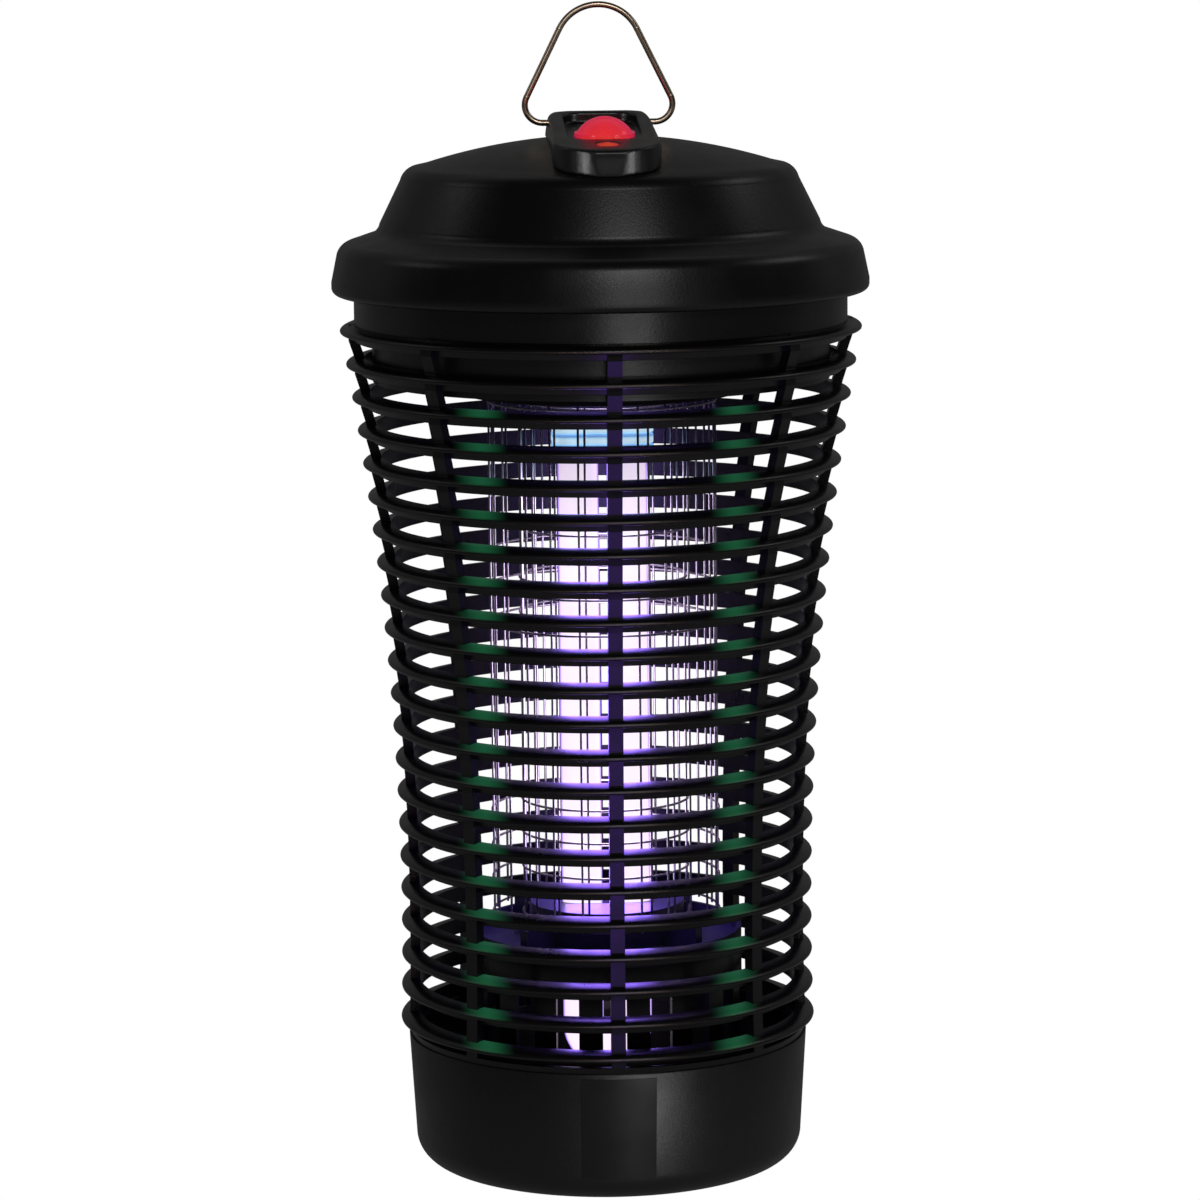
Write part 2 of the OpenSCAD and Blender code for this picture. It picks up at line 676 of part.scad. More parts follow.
module grid_leads() color([0.6, 0.1, 0.1]) {
    wire([[0, -inner_grid_r, drum_z + 8], [0, -inner_grid_r, drum_z + 12],
          [-40, -9, drum_z + 14], [-40, -9, chassis_z + 5], [-34, -6, chassis_z + 20],
          [-18.6, -5, chassis_z + 20]], 1.6);
    wire([[0, -outer_grid_r, drum_z + 8], [0, -outer_grid_r, drum_z + 16],
          [-43.5, -9, drum_z + 18], [-43.5, -9, chassis_z + 22], [-30, -3, chassis_z + 29],
          [-18.6, -3, chassis_z + 29]], 1.6);
}

top_cap();
hanger_block();
signal_lens();
pilot_lens();
signal_leds();
cord_gland();
cord_clamp();
guard_collar();
guard_ribs();
guard_foot();
guard_rings();
socket_drum();
chassis_plate();
transformer_core();
transformer_coil();
transformer_bracket();
circuit_board();
capacitors();
resistors();
terminal_block();
board_pillars();
lamp_socket();
socket_contacts();
upper_grid_plate();
outer_grid();
inner_grid();
grid_terminals();
lower_grid_holder();
lamp_guard();
cap_screws();
block_screws();
chassis_screws();
supply_leads();
lamp_leads();
grid_leads();
hanging_bail();
lamp_glass();
lamp_base();
lamp_pins();
collection_tray();
label_plate();
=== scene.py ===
# Electric bug zapper: camera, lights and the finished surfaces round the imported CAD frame.
import math

import bmesh
import bpy
from mathutils import Matrix, Vector


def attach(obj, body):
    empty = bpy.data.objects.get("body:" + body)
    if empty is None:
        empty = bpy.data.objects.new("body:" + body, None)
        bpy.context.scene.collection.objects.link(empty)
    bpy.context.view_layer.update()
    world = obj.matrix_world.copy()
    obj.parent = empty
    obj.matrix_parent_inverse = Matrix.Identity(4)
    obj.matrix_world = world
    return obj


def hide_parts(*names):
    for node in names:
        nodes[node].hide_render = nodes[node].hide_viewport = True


MM = 0.001
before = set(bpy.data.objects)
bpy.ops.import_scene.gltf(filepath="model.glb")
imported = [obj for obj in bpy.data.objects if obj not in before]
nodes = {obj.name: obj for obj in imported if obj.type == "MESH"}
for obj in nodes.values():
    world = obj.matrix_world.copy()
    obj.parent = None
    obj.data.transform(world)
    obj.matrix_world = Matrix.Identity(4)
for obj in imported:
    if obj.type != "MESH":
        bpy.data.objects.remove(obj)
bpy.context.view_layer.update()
scene = bpy.context.scene

# Heights and radii below are in millimetres, in the CAD's frame, and repeat part.scad's values.
RING_COUNT = 22
RING_PITCH = 14.0
TOP_RING_Z = 356.0
RING_DEPTH = 7.8
APEX_Z = TOP_RING_Z + 80.3


# ---------------------------------------------------------------- camera

def make_camera():
    """The viewpoint: a long lens a little to the left of the front, looking slightly down."""
    azimuth = math.radians(-3.0)
    aside = 0.00076
    pitch = 0.1501
    roll = -0.0101
    distance = 1.9936
    height = TOP_RING_Z * MM + 0.1857
    data = bpy.data.cameras.new("camera")
    data.lens = 142.96
    data.sensor_width = 36.0
    data.clip_start = 0.05
    data.clip_end = 30.0
    cam = bpy.data.objects.new("camera", data)
    scene.collection.objects.link(cam)
    cam.location = (math.sin(azimuth) * distance, -math.cos(azimuth) * distance, height)
    look = azimuth + aside
    forward = Vector((-math.sin(look) * math.cos(pitch), math.cos(look) * math.cos(pitch),
                      -math.sin(pitch)))
    aim = forward.to_track_quat("-Z", "Y")
    cam.rotation_mode = "QUATERNION"
    cam.rotation_quaternion = aim @ Matrix.Rotation(roll, 3, "Z").to_quaternion()
    scene.camera = cam


make_camera()
scene.view_settings.view_transform = "Standard"


# ---------------------------------------------------------------- materials

def tree(name):
    """A new material, its node tree and its surface shader."""
    mat = bpy.data.materials.new(name)
    mat.use_nodes = True
    nt = mat.node_tree
    nt.nodes.clear()
    out = nt.nodes.new("ShaderNodeOutputMaterial")
    bsdf = nt.nodes.new("ShaderNodeBsdfPrincipled")
    nt.links.new(bsdf.outputs[0], out.inputs["Surface"])
    return mat, nt, bsdf


def node(nt, kind, inputs=None, **props):
    """A node whose inputs are either linked from an output or set to a value."""
    n = nt.nodes.new(kind)
    for k, v in props.items():
        setattr(n, k, v)
    for k, v in (inputs or {}).items():
        if hasattr(v, "is_output"):
            nt.links.new(v, n.inputs[k])
        else:
            n.inputs[k].default_value = v
    return n


def coords(nt):
    return node(nt, "ShaderNodeTexCoord").outputs["Object"]


def noise(nt, scale, detail=4.0, rough=0.5, vector=None):
    n = node(nt, "ShaderNodeTexNoise", {"Scale": scale, "Detail": detail, "Roughness": rough})
    nt.links.new(vector if vector is not None else coords(nt), n.inputs["Vector"])
    return n.outputs["Fac"]


def remap(nt, value, low, high, to_low, to_high):
    n = node(nt, "ShaderNodeMapRange", {0: value, 1: low, 2: high, 3: to_low, 4: to_high})
    return n.outputs[0]


def ramp(nt, value, stops):
    n = node(nt, "ShaderNodeValToRGB", {0: value})
    r = n.color_ramp
    while len(r.elements) < len(stops):
        r.elements.new(0.5)
    for e, (pos, col) in zip(r.elements, stops):
        e.position = pos
        e.color = (*col, 1.0)
    return n.outputs[0]


def bump(nt, height, distance):
    n = node(nt, "ShaderNodeBump", {"Height": height, "Distance": distance, "Strength": 1.0})
    return n.outputs[0]


def maths(nt, operation, *values):
    n = node(nt, "ShaderNodeMath", dict(enumerate(values)), operation=operation)
    return n.outputs[0]


def plastic(name, dark, light, rough=(0.3, 0.42), grain=0.00006, scale=900.0):
    """Moulded plastic: slow colour drift, fine grain in its bump, and roughness that varies a little."""
    mat, nt, bsdf = tree(name)
    drift = noise(nt, 14.0, 3.0)
    fine = noise(nt, scale, 2.0, 0.6)
    nt.links.new(ramp(nt, drift, [(0.35, dark), (0.7, light)]), bsdf.inputs["Base Color"])
    nt.links.new(remap(nt, noise(nt, 55.0, 5.0, 0.6), 0.3, 0.75, *rough), bsdf.inputs["Roughness"])
    nt.links.new(bump(nt, fine, grain), bsdf.inputs["Normal"])
    bsdf.inputs["Specular IOR Level"].default_value = 0.5
    return mat


def metal(name, dark, light, rough=(0.22, 0.4), brush=(600.0, 600.0, 20.0)):
    """Drawn or rolled metal: streaks in its roughness and bump, by default along Z."""
    mat, nt, bsdf = tree(name)
    stretch = node(nt, "ShaderNodeMapping", {"Vector": coords(nt), "Scale": brush})
    streak = noise(nt, 1.0, 4.0, 0.6, stretch.outputs[0])
    nt.links.new(ramp(nt, noise(nt, 120.0, 3.0), [(0.35, dark), (0.7, light)]), bsdf.inputs["Base Color"])
    nt.links.new(remap(nt, streak, 0.3, 0.7, *rough), bsdf.inputs["Roughness"])
    nt.links.new(bump(nt, streak, 0.00003), bsdf.inputs["Normal"])
    bsdf.inputs["Metallic"].default_value = 1.0
    return mat


def lamp_glow():
    """Coated glass: near white where it faces out, violet where it turns away."""
    mat, nt, bsdf = tree("lamp_tube")
    mottled = noise(nt, 60.0, 3.0)
    facing = node(nt, "ShaderNodeLayerWeight", {"Blend": 0.5}).outputs["Facing"]
    colour = ramp(nt, facing, [(0.0, (1.0, 0.87, 1.0)), (0.55, (0.98, 0.78, 1.0)),
                               (0.74, (0.48, 0.3, 0.98)), (0.92, (0.2, 0.1, 0.7))])
    nt.links.new(colour, bsdf.inputs["Emission Color"])
    height = node(nt, "ShaderNodeSeparateXYZ", {0: coords(nt)}).outputs["Z"]
    leg_top, leg_low = 0.312, 0.27
    fade = remap(nt, height, leg_low, leg_top, 1.0, 0.55)
    level = remap(nt, mottled, 0.3, 0.7, 1.0, 1.12)
    nt.links.new(maths(nt, "MULTIPLY", fade, level), bsdf.inputs["Emission Strength"])
    nt.links.new(ramp(nt, mottled, [(0.3, (0.2, 0.15, 0.4)), (0.7, (0.25, 0.2, 0.45))]),
                 bsdf.inputs["Base Color"])
    bsdf.inputs["Roughness"].default_value = 0.2
    return mat


def base_painted_light():
    """White moulding with painted light: emission stands in for the lamp's light falling on it from beside,
    and painted shade makes dark lines in its grooves.
    """
    groove_pitch = 0.0046
    mat, nt, bsdf = tree("lamp_base_painted_light")
    height = node(nt, "ShaderNodeSeparateXYZ", {0: coords(nt)}).outputs["Z"]
    # Painted shade: a sine on height darkens the emission colour in the grooves.
    painted_groove_shade = maths(nt, "SINE", maths(nt, "MULTIPLY", height, 2 * math.pi / groove_pitch))
    colour = ramp(nt, remap(nt, painted_groove_shade, -1.0, 1.0, 0.0, 1.0),
                  [(0.0, (0.08, 0.2, 0.5)), (0.3, (0.3, 0.66, 1.0)), (0.8, (0.62, 0.86, 1.0))])
    # Painted light: the base glows by emission though it is no lamp.
    nt.links.new(colour, bsdf.inputs["Emission Color"])
    nt.links.new(remap(nt, noise(nt, 90.0), 0.3, 0.7, 0.6, 0.9), bsdf.inputs["Emission Strength"])
    nt.links.new(ramp(nt, noise(nt, 40.0), [(0.3, (0.7, 0.8, 0.85)), (0.7, (0.8, 0.88, 0.9))]),
                 bsdf.inputs["Base Color"])
    bsdf.inputs["Roughness"].default_value = 0.3
    return mat


def ring_moulding():
    """The rings' black moulding, with a painted green glint on its shoulders beside the front: emission
    standing in for a reflection.
    """
    glint_x, glint_half_width, glint_shift, painted_glint_strength = 0.0515, 0.0115, 0.002, 0.075
    mat, nt, bsdf = tree("louvre_moulding_painted_glint")
    nt.links.new(ramp(nt, noise(nt, 14.0, 3.0), [(0.35, (0.003, 0.003, 0.003)),
                                                 (0.7, (0.0045, 0.0045, 0.0045))]),
                 bsdf.inputs["Base Color"])
    nt.links.new(remap(nt, noise(nt, 55.0, 5.0, 0.6), 0.3, 0.75, 0.26, 0.34), bsdf.inputs["Roughness"])
    nt.links.new(bump(nt, noise(nt, 900.0, 2.0, 0.6), 0.00004), bsdf.inputs["Normal"])
    place = node(nt, "ShaderNodeSeparateXYZ", {0: coords(nt)})
    aside = maths(nt, "ABSOLUTE", maths(nt, "ADD", place.outputs["X"], glint_shift))
    away = maths(nt, "ABSOLUTE", maths(nt, "SUBTRACT", aside, glint_x))
    near = node(nt, "ShaderNodeMapRange", {0: away, 1: 0.0, 2: glint_half_width, 3: 1.0, 4: 0.0},
                interpolation_type="SMOOTHSTEP").outputs[0]
    front = remap(nt, place.outputs["Y"], -0.04, -0.05, 0.0, 1.0)
    below_top = remap(nt, place.outputs["Z"], 0.339, 0.332, 0.0, 1.0)
    normal = node(nt, "ShaderNodeNewGeometry").outputs["Normal"]
    up = node(nt, "ShaderNodeSeparateXYZ", {0: normal}).outputs["Z"]
    shoulder = remap(nt, up, 0.25, 0.8, 0.0, 1.0)
    # Painted glint: green emission in a patch on the upward-facing shoulders either side of the front, in
    # place of a reflected light.
    mask = near
    for part in (front, below_top, shoulder):
        mask = maths(nt, "MULTIPLY", mask, part)
    nt.links.new(maths(nt, "MULTIPLY", mask, painted_glint_strength), bsdf.inputs["Emission Strength"])
    bsdf.inputs["Emission Color"].default_value = (0.1, 1.0, 0.4, 1.0)
    return mat


RING_PAINTED_GLINT = ring_moulding()
LAMP = lamp_glow()
LAMP_BASE_PAINTED_LIGHT = base_painted_light()
BLACK = plastic("black_moulding", (0.0035, 0.0035, 0.0035), (0.005, 0.005, 0.005),
                rough=(0.3, 0.38), grain=0.00005)
RING = plastic("ring_moulding", (0.003, 0.003, 0.003), (0.0045, 0.0045, 0.0045),
               rough=(0.26, 0.34), grain=0.00004)
BLOCK = plastic("block_moulding", (0.005, 0.005, 0.0052), (0.007, 0.007, 0.0072),
                rough=(0.26, 0.34), grain=0.00004)
TRAY = plastic("tray_moulding", (0.004, 0.0042, 0.0041), (0.006, 0.0062, 0.006),
               rough=(0.34, 0.44), grain=0.00008, scale=1400.0)
DRUM = plastic("drum_moulding", (0.012, 0.012, 0.012), (0.016, 0.016, 0.016), rough=(0.3, 0.4))
GLAND = plastic("gland_rubber", (0.01, 0.01, 0.01), (0.016, 0.016, 0.016), rough=(0.55, 0.7), grain=0.0001)
HOLDER = plastic("holder_moulding", (0.03, 0.028, 0.06), (0.05, 0.045, 0.09), rough=(0.25, 0.4))
LABEL = plastic("label_film", (0.003, 0.0035, 0.0032), (0.0045, 0.005, 0.0047),
                rough=(0.2, 0.28), grain=0.00002)
ZINC = metal("zinc_sheet", (0.5, 0.5, 0.51), (0.66, 0.66, 0.67), rough=(0.3, 0.5))
CORE = metal("core_laminations", (0.1, 0.1, 0.11), (0.2, 0.2, 0.21), rough=(0.4, 0.6),
             brush=(8.0, 3000.0, 8.0))
COIL = plastic("coil_tape", (0.45, 0.22, 0.03), (0.62, 0.33, 0.06), rough=(0.25, 0.4))
BOARD = plastic("board_mask", (0.01, 0.06, 0.03), (0.02, 0.1, 0.05), rough=(0.25, 0.35))
SLEEVE = plastic("capacitor_sleeve", (0.01, 0.015, 0.07), (0.02, 0.03, 0.11), rough=(0.2, 0.3))
CERAMIC = plastic("resistor_ceramic", (0.5, 0.38, 0.2), (0.62, 0.48, 0.28), rough=(0.5, 0.6))
TERMINAL = plastic("terminal_plastic", (0.02, 0.16, 0.06), (0.03, 0.22, 0.09), rough=(0.4, 0.5))
NYLON = plastic("nylon", (0.6, 0.58, 0.5), (0.7, 0.68, 0.6), rough=(0.4, 0.55))
SOCKET = plastic("socket_plastic", (0.55, 0.56, 0.56), (0.66, 0.67, 0.67), rough=(0.3, 0.4))
BRASS = metal("contact_brass", (0.55, 0.38, 0.14), (0.72, 0.52, 0.22))
SCREW = metal("screw_zinc", (0.45, 0.45, 0.45), (0.6, 0.6, 0.6))
LEAD_BLACK = plastic("lead_black", (0.012, 0.012, 0.012), (0.02, 0.02, 0.02), rough=(0.4, 0.5))
LEAD_WHITE = plastic("lead_white", (0.6, 0.6, 0.58), (0.7, 0.7, 0.68), rough=(0.4, 0.5))
LEAD_RED = plastic("lead_red", (0.3, 0.01, 0.01), (0.4, 0.02, 0.02), rough=(0.4, 0.5))
BAIL = metal("bail_wire", (0.5, 0.38, 0.28), (0.6, 0.47, 0.36), rough=(0.2, 0.26), brush=(40.0, 40.0, 40.0))
WIRE = metal("grid_wire", (0.5, 0.46, 0.5), (0.68, 0.64, 0.68), rough=(0.25, 0.4))


def lens_material(name, deep, bright, strength):
    """Clear coloured moulding, lit a little from inside, brighter towards its crown."""
    mat, nt, bsdf = tree(name)
    facing = node(nt, "ShaderNodeLayerWeight", {"Blend": 0.4}).outputs["Facing"]
    colour = ramp(nt, facing, [(0.0, bright), (0.65, deep)])
    nt.links.new(colour, bsdf.inputs["Base Color"])
    nt.links.new(colour, bsdf.inputs["Emission Color"])
    bsdf.inputs["Emission Strength"].default_value = strength
    nt.links.new(bump(nt, noise(nt, 900.0, 2.0), 0.00002), bsdf.inputs["Normal"])
    bsdf.inputs["Roughness"].default_value = 0.18
    bsdf.inputs["Transmission Weight"].default_value = 0.25
    bsdf.inputs["IOR"].default_value = 1.49
    return mat


LENS = lens_material("signal_lens_red", (0.66, 0.02, 0.1), (0.85, 0.05, 0.05), 0.45)
PILOT = lens_material("pilot_orange", (0.7, 0.05, 0.02), (0.9, 0.13, 0.03), 0.3)
LED = lens_material("led_epoxy", (0.7, 0.05, 0.03), (0.9, 0.15, 0.05), 0.4)

CAD_MATERIALS = {
    "top_cap": BLACK, "hanger_block": BLOCK, "signal_lens": LENS, "pilot_lens": PILOT, "signal_leds": LED,
    "cord_gland": GLAND, "cord_clamp": BLACK, "guard_collar": RING, "guard_ribs": RING,
    "guard_foot": RING, "guard_rings": RING, "socket_drum": DRUM,
    "chassis_plate": ZINC, "transformer_core": CORE, "transformer_coil": COIL, "transformer_bracket": ZINC,
    "circuit_board": BOARD, "capacitors": SLEEVE, "resistors": CERAMIC, "terminal_block": TERMINAL,
    "board_pillars": NYLON, "lamp_socket": SOCKET, "socket_contacts": BRASS, "upper_grid_plate": RING,
    "outer_grid": WIRE, "inner_grid": WIRE, "grid_terminals": BRASS, "lower_grid_holder": HOLDER,
    "lamp_guard": RING, "cap_screws": SCREW, "block_screws": SCREW, "chassis_screws": SCREW,
    "supply_leads": LEAD_BLACK, "lamp_leads": LEAD_WHITE, "grid_leads": LEAD_RED, "hanging_bail": BAIL,
    "lamp_glass": LAMP, "lamp_base": LAMP_BASE_PAINTED_LIGHT, "lamp_pins": BRASS, "collection_tray": TRAY,
    "label_plate": LABEL,
}
for name, obj in nodes.items():
    obj.data.materials.clear()
    obj.data.materials.append(CAD_MATERIALS[name])


# ---------------------------------------------------------------- mesh helpers

def link_mesh(name, bm, material, smooth=35.0):
    bmesh.ops.recalc_face_normals(bm, faces=bm.faces)
    mesh = bpy.data.meshes.new(name)
    bm.to_mesh(mesh)
    bm.free()
    obj = bpy.data.objects.new(name, mesh)
    scene.collection.objects.link(obj)
    mesh.materials.append(material)
    for p in mesh.polygons:
        p.use_smooth = True
    if smooth:
        mesh.set_sharp_from_angle(angle=math.radians(smooth))
    return obj


def lathe(bm, outline, steps=192, wrap=True):
    """Turns an outline of (radius, height) points, in millimetres, about the Z axis."""
    rings = []
    for k in range(steps):
        a = 2 * math.pi * k / steps
        c, s = math.cos(a) * MM, math.sin(a) * MM
        rings.append([bm.verts.new((r * c, r * s, z * MM)) for r, z in outline])
    n = len(outline)
    for k in range(steps):
        first, second = rings[k], rings[(k + 1) % steps]
        for i in range(n if wrap else n - 1):
            j = (i + 1) % n
            bm.faces.new((first[i], first[j], second[j], second[i]))
    bmesh.ops.remove_doubles(bm, verts=bm.verts, dist=1e-7)


def piece(obj, body, slot, *replaced):
    """Puts a finished surface on its body, in place of CAD nodes. The slot argument is not used."""
    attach(obj, body)
    if replaced:
        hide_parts(*replaced)
    return obj


def arc(cx, cy, r, start, end, steps):
    """Points on an arc about (cx, cy), from start to end in degrees."""
    return [(cx + r * math.cos(math.radians(start + (end - start) * i / steps)),
             cy + r * math.sin(math.radians(start + (end - start) * i / steps))) for i in range(steps + 1)]


def ring_r(i):
    """Outer radius of ring i, counted from the top: the guard narrows to a waist near its foot."""
    waist_ring = 17.7
    return 87.5 + 21.9 * ((i - waist_ring) / waist_ring) ** 2


def ring_z(i):
    return TOP_RING_Z - RING_PITCH * i


def tube(bm, points, radius, sides=16, closed=False):
    """A round wire along points in metres."""
    pts = [Vector(p) for p in points]
    n = len(pts)
    rings = []
    last = None
    for i, p in enumerate(pts):
        before = pts[(i - 1) % n] if (closed or i > 0) else p
        after = pts[(i + 1) % n] if (closed or i < n - 1) else p
        t = (after - before).normalized()
        if last is None:
            ref = Vector((0, 0, 1)) if abs(t.z) < 0.9 else Vector((0, 1, 0))
            side = t.cross(ref).normalized()
        else:
            side = (last - t * last.dot(t)).normalized()
        last = side
        up = t.cross(side)
        rings.append([bm.verts.new(p + (side * math.cos(2 * math.pi * k / sides)
                                        + up * math.sin(2 * math.pi * k / sides)) * radius)
                      for k in range(sides)])
    for i in range(n if closed else n - 1):
        first, second = rings[i], rings[(i + 1) % n]
        for k in range(sides):
            j = (k + 1) % sides
            bm.faces.new((first[k], first[j], second[j], second[k]))
    if not closed:
        bm.faces.new(list(reversed(rings[0])))
        bm.faces.new(rings[-1])


# ---------------------------------------------------------------- louvre rings

def ring_outline(r):
    """Section of one ring: a broad rounded top, a crisp lower outer edge, and a hollow underside."""
    inner = r - RING_DEPTH
    top = [(inner + RING_DEPTH * math.cos(a), 2.9 * math.sin(a))
           for a in (math.radians(90 * i / 12) for i in range(13))]
    return ([(r - 0.9, -0.95), (r - 0.45, -0.85), (r - 0.15, -0.55)] + top
            + [(inner, -3.6), (inner + 0.4, -4.0), (inner + 1.5, -4.0), (inner + 1.8, -3.6),
               (inner + 1.9, 0.2), (inner + 2.6, 1.0), (inner + 4.0, 0.7), (inner + 5.6, 0.0)])


bm = bmesh.new()
for i in range(RING_COUNT):
    r, z = ring_r(i), ring_z(i)
    lathe(bm, [(x, z + y) for x, y in ring_outline(r)], steps=224)
rings = piece(link_mesh("louvre_rings", bm, RING_PAINTED_GLINT, smooth=40.0),
              "housing", "black_plastic", "guard_rings")


# ---------------------------------------------------------------- cap, hanger block and tray

def cap_outline():
    """Closed section of the cap: down its outside, round the brim and back up its inside."""
    wall = 2.6
    brim_r = 112.6
    dome = 245.0
    outer = (arc(0, APEX_Z - dome, dome, 90, 72.5, 30) + arc(75.5, TOP_RING_Z + 60.5, 8, 68, 14, 14)
             + arc(97.6, TOP_RING_Z + 45.6, 5.6, 190, 247, 12)
             + arc(103.2, TOP_RING_Z + 30.2, 7.2, 68, 12, 12)
             + [(brim_r, TOP_RING_Z + 20.4)] + arc(brim_r - 2.8, TOP_RING_Z + 18.2, 2.8, -4, -90, 10))
    inner = ([(brim_r - 4, TOP_RING_Z + 15.6), (brim_r - 4, TOP_RING_Z + 18.7),
              (brim_r - wall, TOP_RING_Z + 18.7), (brim_r - wall, TOP_RING_Z + 20.4)]
             + arc(103.2, TOP_RING_Z + 30.2, 7.2 - wall, 12, 68, 8)
             + arc(97.6, TOP_RING_Z + 45.6, 5.6 + wall, 247, 190, 8)
             + arc(75.5, TOP_RING_Z + 60.5, 8 - wall, 14, 68, 8)
             + arc(0, APEX_Z - dome, dome - wall, 72.5, 90, 12))
    return outer + inner


bm = bmesh.new()
lathe(bm, cap_outline(), steps=256, wrap=False)
cap = piece(link_mesh("domed_cap", bm, BLACK, smooth=50.0), "housing", "black_plastic", "top_cap")

# The boss that holds the cord gland, turned about Z and then laid along +Y
bm = bmesh.new()
boss_outline = [(6.05, -2.0), (6.05, 12.4), (8.2, 12.4), (8.8, 12.1), (9.0, 11.6), (9.4, 1.5), (11.5, -2.0)]
lathe(bm, boss_outline, steps=72)
bmesh.ops.transform(bm, verts=bm.verts, matrix=Matrix.Translation((0, 79 * MM, (TOP_RING_Z + 53) * MM))
                    @ Matrix.Rotation(math.radians(-90), 4, "X"))
piece(link_mesh("gland_boss", bm, BLACK, smooth=40.0), "housing", "black_plastic")


def softened(name, source, voxel, rounds, material):
    """A copy of a CAD node with its edges rounded over, as a moulding's are."""
    mesh = nodes[source].data.copy()
    obj = bpy.data.objects.new(name, mesh)
    scene.collection.objects.link(obj)
    remesh = obj.modifiers.new("remesh", "REMESH")
    remesh.mode = "VOXEL"
    remesh.voxel_size = voxel
    remesh.use_smooth_shade = True
    relax = obj.modifiers.new("relax", "SMOOTH")
    relax.factor = 0.5
    relax.iterations = rounds
    bpy.context.view_layer.update()
    result = bpy.data.meshes.new_from_object(obj.evaluated_get(bpy.context.evaluated_depsgraph_get()))
    obj.modifiers.clear()
    obj.data = result
    result.name = name
    result.materials.clear()
    result.materials.append(material)
    return obj


block = piece(softened("hanger_shell", "hanger_block", 0.0004, 34, BLOCK),
              "housing", "block_plastic", "hanger_block")


def tray_outline():
    foot_r, rim_r, height, corner, wall = 82.4, 84.9, 55.4, 12.0, 2.4
    outer = [(0, 0)] + arc(foot_r - corner, corner, corner, -90, 0, 20)
    outer += [(rim_r, height - 0.5), (rim_r - 0.15, height - 0.12), (rim_r - 0.5, height)]
    inner = [(rim_r - wall + 0.5, height), (rim_r - wall, height - 0.5)]
    inner += arc(foot_r - corner, corner, corner - wall, 0, -90, 12) + [(0, wall)]
    return outer + inner


bm = bmesh.new()
lathe(bm, tray_outline(), steps=256, wrap=False)
tray = piece(link_mesh("catch_tray", bm, TRAY, smooth=40.0),
             "tray", "black_plastic", "collection_tray")


# ---------------------------------------------------------------- grids

def cage(name, radius, count, turn, hoops, replaced):
    """A round cage of upright wires, with hoops round them at the given heights."""
    wire_r = 0.5 * MM
    low, high = 106.0, TOP_RING_Z - 27.2
    bm = bmesh.new()
    for i in range(count):
        a = math.radians(turn + 360.0 * i / count)
        x, y = radius * math.cos(a) * MM, radius * math.sin(a) * MM
        tube(bm, [(x, y, low * MM), (x, y, (low + high) / 2 * MM), (x, y, high * MM)], wire_r, 10)
    ring = (radius + 0.5) * MM
    for z in hoops:
        tube(bm, [(ring * math.cos(2 * math.pi * k / 128), ring * math.sin(2 * math.pi * k / 128), z * MM)
                  for k in range(128)], wire_r, 10, closed=True)
    obj = link_mesh(name, bm, WIRE, smooth=0)
    return piece(obj, "housing", "grid_wire", replaced)


outer_cage = cage("outer_cage", 47.7, 24, 0.0, [107, 122, 136, 151, 232, 247, 262, 325.8], "outer_grid")
inner_cage = cage("inner_cage", 35.0, 16, 7.5, [107, 127, 142, 156, 236, 251, 272, 325.8], "inner_grid")


# ---------------------------------------------------------------- lights and floor

def area(name, size, radiance, location, target, color=(1, 1, 1), seen=True, only=None):
    """A soft box of the given radiance; a light that isn't seen still shows in gloss."""
    data = bpy.data.lights.new(name, "AREA")
    data.shape = "RECTANGLE"
    data.size, data.size_y = size
    data.energy = radiance * math.pi * size[0] * size[1]
    data.color = color
    obj = bpy.data.objects.new(name, data)
    scene.collection.objects.link(obj)
    obj.location = location
    obj.rotation_mode = "QUATERNION"
    obj.rotation_quaternion = (Vector(target) - Vector(location)).to_track_quat("-Z", "Y")
    obj.visible_camera = seen
    if only:
        group = bpy.data.collections.new(name + "_lights")
        for lit in only:
            group.objects.link(lit)
        obj.light_linking.receiver_collection = group
    return obj


def make_floor():
    """A pale sweep below the dropped tray, curving up far behind. It gives light but isn't seen."""
    bm = bmesh.new()
    width, near, far, rise, bend, level = 6.0, -6.0, 3.2, 4.0, 1.2, -0.08
    outline = [(near, level), (far - bend, level)]
    outline += [(far - bend + bend * math.sin(a), level + bend - bend * math.cos(a))
                for a in (math.radians(90 * i / 16) for i in range(1, 17))]
    outline += [(far, rise)]
    left = [bm.verts.new((-width, y, z)) for y, z in outline]
    right = [bm.verts.new((width, y, z)) for y, z in outline]
    for i in range(len(outline) - 1):
        bm.faces.new((left[i], right[i], right[i + 1], left[i + 1]))
    mat, nt, bsdf = tree("floor_paint")
    nt.links.new(ramp(nt, noise(nt, 3.0), [(0.3, (0.5, 0.5, 0.5)), (0.7, (0.54, 0.54, 0.54))]),
                 bsdf.inputs["Base Color"])
    bsdf.inputs["Emission Strength"].default_value = 0.06
    bsdf.inputs["Emission Color"].default_value = (1, 1, 1, 1)
    bsdf.inputs["Roughness"].default_value = 0.9
    bsdf.inputs["Specular IOR Level"].default_value = 0.1
    floor = link_mesh("floor", bm, mat, smooth=0)
    floor.visible_camera = False


make_floor()

# The room is dark in front of the object and bright at its sides and behind it
world = bpy.data.worlds.new("world")
scene.world = world
world.use_nodes = True
wt = world.node_tree
split = node(wt, "ShaderNodeSeparateXYZ", {0: node(wt, "ShaderNodeTexCoord").outputs["Generated"]})
depth = remap(wt, split.outputs["Y"], 0.0, 0.9, 0.02, 0.36)
eye = node(wt, "ShaderNodeLightPath").outputs["Is Camera Ray"]
level = node(wt, "ShaderNodeMix", {0: eye, 2: depth, 3: 1.0}, data_type="FLOAT")
wt.links.new(level.outputs[0], wt.nodes["Background"].inputs["Strength"])
wt.nodes["Background"].inputs["Color"].default_value = (1, 1, 1, 1)

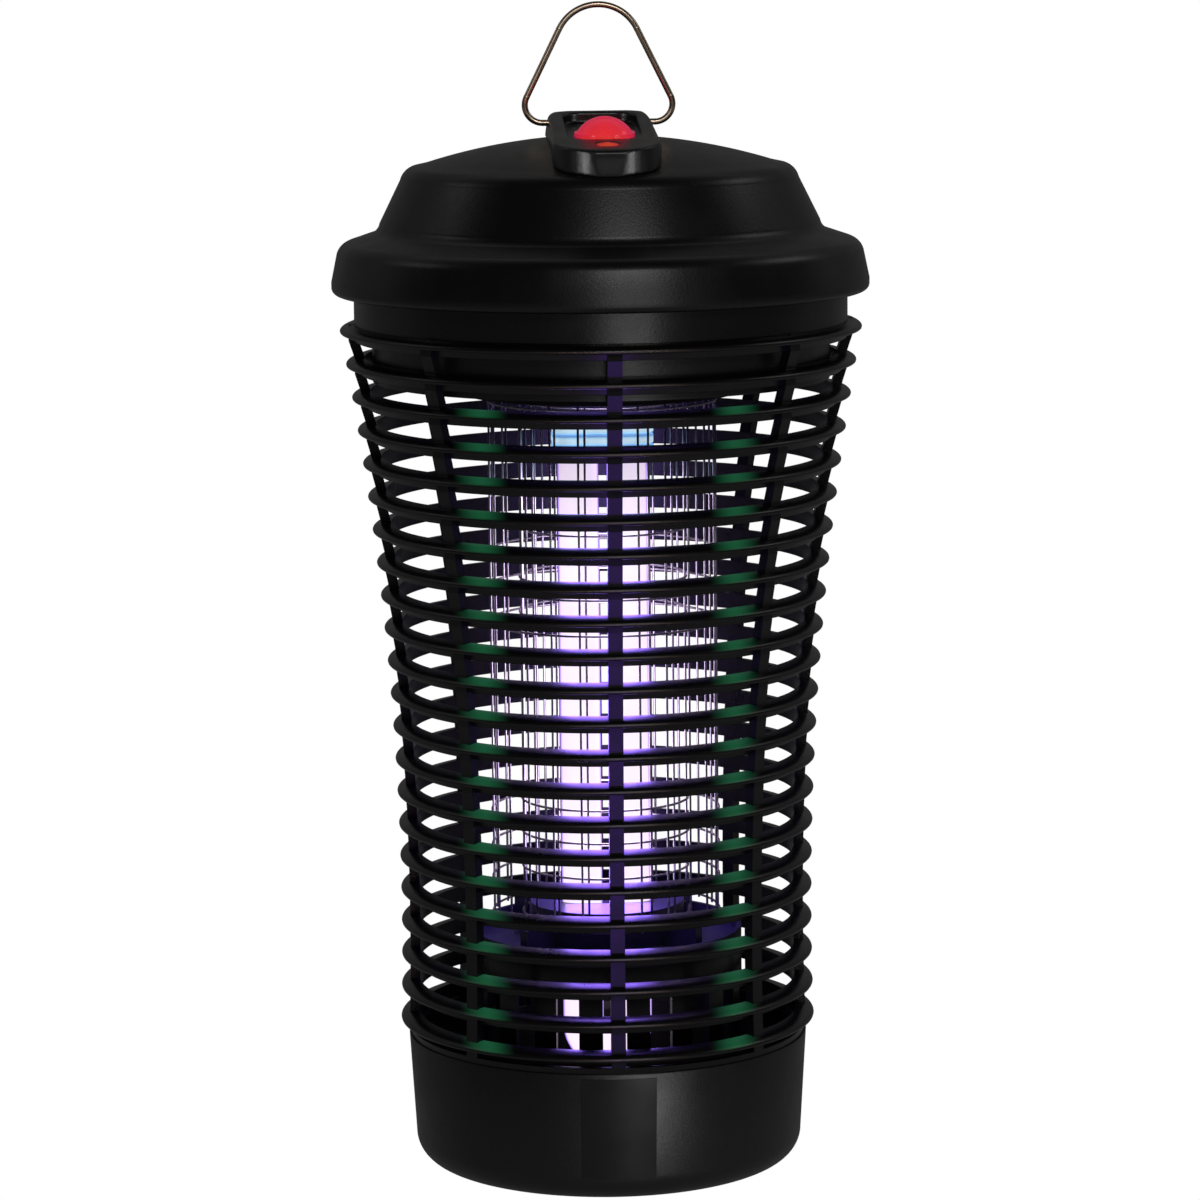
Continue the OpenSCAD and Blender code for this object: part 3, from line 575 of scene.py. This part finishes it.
area("key", (0.8, 0.45), 4.4, (0.3, -1.7, 1.15), (0, 0, 0.38), seen=False)
area("right_box", (0.7, 0.5), 1.0, (1.45, 0.1, 1.35), (0, 0, 0.35), seen=False)
area("left_box", (0.5, 0.5), 0.6, (-1.5, 0.1, 1.25), (0, 0, 0.35), seen=False)
area("low_warm", (1.2, 0.12), 10.0, (0.1, -1.4, 0.06), (0, 0, 0.2), (1.0, 0.7, 0.52), False, [rings])

# The lamp's violet light, set round it and hidden from the eye
LAMP_MIDDLE = 0.195
LAMP_LENGTH = 0.235
VIOLET = (0.22, 0.1, 1.0)
LILAC = (0.8, 0.66, 1.0)
wires = [outer_cage, inner_cage]
guard = [rings, nodes["guard_ribs"], nodes["guard_foot"], nodes["socket_drum"], nodes["upper_grid_plate"],
         nodes["lower_grid_holder"], nodes["lamp_guard"]]
LAMP_SIDES = [(0, -11, 36, 12), (0, 11, 36, 3), (-21, 0, 16, 4), (21, 0, 16, 4)]
for index, (x, y, width, radiance) in enumerate(LAMP_SIDES):
    place = (x * MM, y * MM, LAMP_MIDDLE)
    outward = (x * 9 * MM, y * 9 * MM, LAMP_MIDDLE)
    size = (width * MM, LAMP_LENGTH)
    area(f"lamp_violet_{index}", size, radiance, place, outward, VIOLET, False, guard)
    area(f"lamp_lilac_{index}", size, 6, place, outward, LILAC, False, wires)
area("dish_violet", (0.08, 0.08), 7, (0, 0, 0.18), (0, 0, 0.1), (0.3, 0.16, 1.0), False,
     [nodes["lower_grid_holder"], nodes["lamp_guard"]])
area("plate_violet", (0.08, 0.08), 4, (0, 0, 0.25), (0, 0, 0.33), (0.3, 0.16, 1.0), False,
     [nodes["upper_grid_plate"], nodes["socket_drum"]])
# The lamp's glare on the front of the guard
area("front_glare", (0.045, 0.17), 2.9, (0.012, -0.32, 0.13), (0, 0, 0.19), (0.3, 0.1, 1.0), False,
     [rings, nodes["guard_ribs"]])

# Soft boxes that only the smooth front walls and the bail reflect
for side in (-1, 1):
    area(f"block_box_{side + 1}", (0.3, 0.6), 9.0, (side * 1.1, -1.15, 0.4), (0, 0, 0.43),
         seen=False, only=[block])
area("bail_box", (1.6, 1.2), 1.1, (-0.3, -1.9, 1.2), (0, 0, 0.47), seen=False, only=[nodes["hanging_bail"]])
area("front_box", (0.6, 0.5), 2.2, (0.28, -1.6, 0.36), (0, 0, 0.4), seen=False,
     only=[cap, nodes["guard_collar"], nodes["socket_drum"]])
area("tray_box", (0.25, 0.14), 7.0, (0.16, -0.55, 0.01), (0.02, 0, 0.03), seen=False,
     only=[tray, nodes["label_plate"]])
